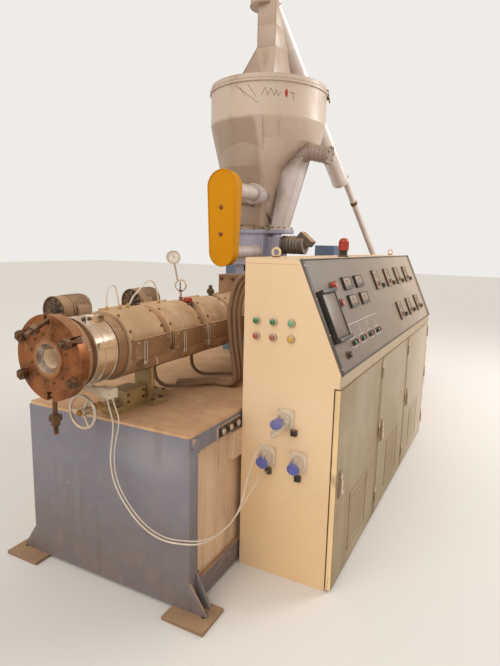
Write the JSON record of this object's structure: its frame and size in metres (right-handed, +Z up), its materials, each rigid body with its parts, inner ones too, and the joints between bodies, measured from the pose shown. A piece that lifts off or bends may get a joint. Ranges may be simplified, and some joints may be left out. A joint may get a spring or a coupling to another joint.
{
  "type": "plastic extruder",
  "caption": "Conical twin screw plastic extruder on a blue base with covered barrel, feed hopper, drive and a side cabinet with a sloping control panel.",
  "frame": {"origin": "on the floor, centre of the four anchor holes of the base feet", "axes": "+Y along the barrel from the outlet to the drive, +X to the control cabinet side, +Z up"},
  "size_m": [1.4995, 4.8466, 3.14],
  "materials": {
    "base_paint": "worn slate blue paint with dust",
    "table_paint": "paint under thick tan dust",
    "panel_paint": "worn beige paint",
    "cabinet_paint": "satin cream paint with grime",
    "control_paint": "bronze grey paint",
    "rusty_steel": "bare steel with brown rust",
    "polished_steel": "polished sheet steel",
    "cover_steel": "sheet steel under brown dust",
    "dark_paint": "dark paint with dust",
    "khaki_steel": "zinc yellow plating with dust",
    "chrome_steel": "bright plated steel",
    "blue_paint": "blue machine paint",
    "yellow_paint": "strong yellow paint",
    "hopper_paint": "off-white paint with dust",
    "black_plastic": "black plastic",
    "blue_plastic": "blue plastic",
    "red_plastic": "red plastic",
    "white_plastic": "off-white plastic",
    "lamp_lens": "coloured lamp lens",
    "hose_rubber": "dark rubber"
  },
  "bodies": {
    "machine": {"base_frame": "base_paint", "base_top": "table_paint", "side_panels": "panel_paint", "base_feet": "base_paint", "barrel": "rusty_steel", "die_flange": "rusty_steel", "clamp_lugs": "rusty_steel", "clamp_bolts": "rusty_steel", "barrel_ring": "rusty_steel", "band_heater": "polished_steel", "heater_covers": "cover_steel", "terminal_boxes": "cover_steel", "blowers": "dark_paint", "barrel_support": "khaki_steel", "vent_fittings": "dark_paint", "vacuum_gauge": "chrome_steel", "thermocouples": "white_plastic", "feed_block": "cover_steel", "feeder_body": "blue_paint", "feeder_motor": "dark_paint", "chain_guard": "yellow_paint", "agitator_shaft": "hopper_paint", "hopper_shell": "hopper_paint", "hopper_lid": "hopper_paint", "hopper_branch": "hopper_paint", "drop_chute": "hopper_paint", "loader_tube": "hopper_paint", "loader_bin": "hopper_paint", "gearbox": "blue_paint", "coupling_guard": "yellow_paint", "main_motor": "blue_paint", "motor_fan": "base_paint", "cabinet_walls": "cabinet_paint", "cabinet_roof": "cabinet_paint", "cabinet_base": "cabinet_paint", "cabinet_frame": "cabinet_paint", "door_posts": "cabinet_paint", "door_hinges": "cabinet_paint", "mounting_plate": "polished_steel", "control_panel": "control_paint", "panel_fittings": "black_plastic", "operator_box": "control_paint", "end_lamps": "lamp_lens", "socket_plates": "blue_plastic", "beacon": "red_plastic", "socket_plug": "white_plastic", "heater_plug": "white_plastic", "heater_lead": "white_plastic", "probe_lead": "white_plastic", "hoses": "hose_rubber", "side_box": "cabinet_paint"},
    "door_1": {"door_1": "cabinet_paint"},
    "door_2": {"door_2": "cabinet_paint"},
    "door_3": {"door_3": "cabinet_paint"},
    "handwheel": {"handwheel": "chrome_steel"},
    "swing_bolt": {"swing_bolt": "rusty_steel"},
    "vent_knob": {"vent_knob": "red_plastic"},
    "socket_cap_1": {"socket_cap_1": "blue_plastic"},
    "socket_cap_2": {"socket_cap_2": "blue_plastic"},
    "socket_cap_3": {"socket_cap_3": "blue_plastic"}
  },
  "joints": [
    {"name": "door_1_hinge", "type": "hinge", "parent": "machine", "child": "door_1", "pos_m": [0.9275, -0.821, 0.5], "axis": [0, 0, 1], "range_deg": [0, 90]},
    {"name": "door_2_hinge", "type": "hinge", "parent": "machine", "child": "door_2", "pos_m": [0.9275, -0.066, 0.5], "axis": [0, 0, 1], "range_deg": [0, 90]},
    {"name": "door_3_hinge", "type": "hinge", "parent": "machine", "child": "door_3", "pos_m": [0.9275, 0.771, 0.5], "axis": [0, 0, 1], "range_deg": [0, 90]},
    {"name": "handwheel_turn", "type": "hinge", "parent": "machine", "child": "handwheel", "pos_m": [-0.01, -2.1, 0.831], "axis": [0, 1, 0], "continuous": true},
    {"name": "swing_bolt_hinge", "type": "hinge", "parent": "machine", "child": "swing_bolt", "pos_m": [0, -2.248, 0.94], "axis": [-1, 0, 0], "range_deg": [0, 90]},
    {"name": "vent_knob_turn", "type": "hinge", "parent": "machine", "child": "vent_knob", "pos_m": [0.041, -1.411, 1.24], "axis": [0, 0, 1], "continuous": true},
    {"name": "socket_cap_1_hinge", "type": "hinge", "parent": "machine", "child": "socket_cap_1", "pos_m": [0.68, -1.65286, 0.79109], "axis": [-1, 0, 0], "range_deg": [0, 30]},
    {"name": "socket_cap_2_hinge", "type": "hinge", "parent": "machine", "child": "socket_cap_2", "pos_m": [0.598, -1.65286, 0.60209], "axis": [-1, 0, 0], "range_deg": [0, 110]},
    {"name": "socket_cap_3_hinge", "type": "hinge", "parent": "machine", "child": "socket_cap_3", "pos_m": [0.748, -1.65286, 0.60409], "axis": [-1, 0, 0], "range_deg": [0, 110]}
  ]
}
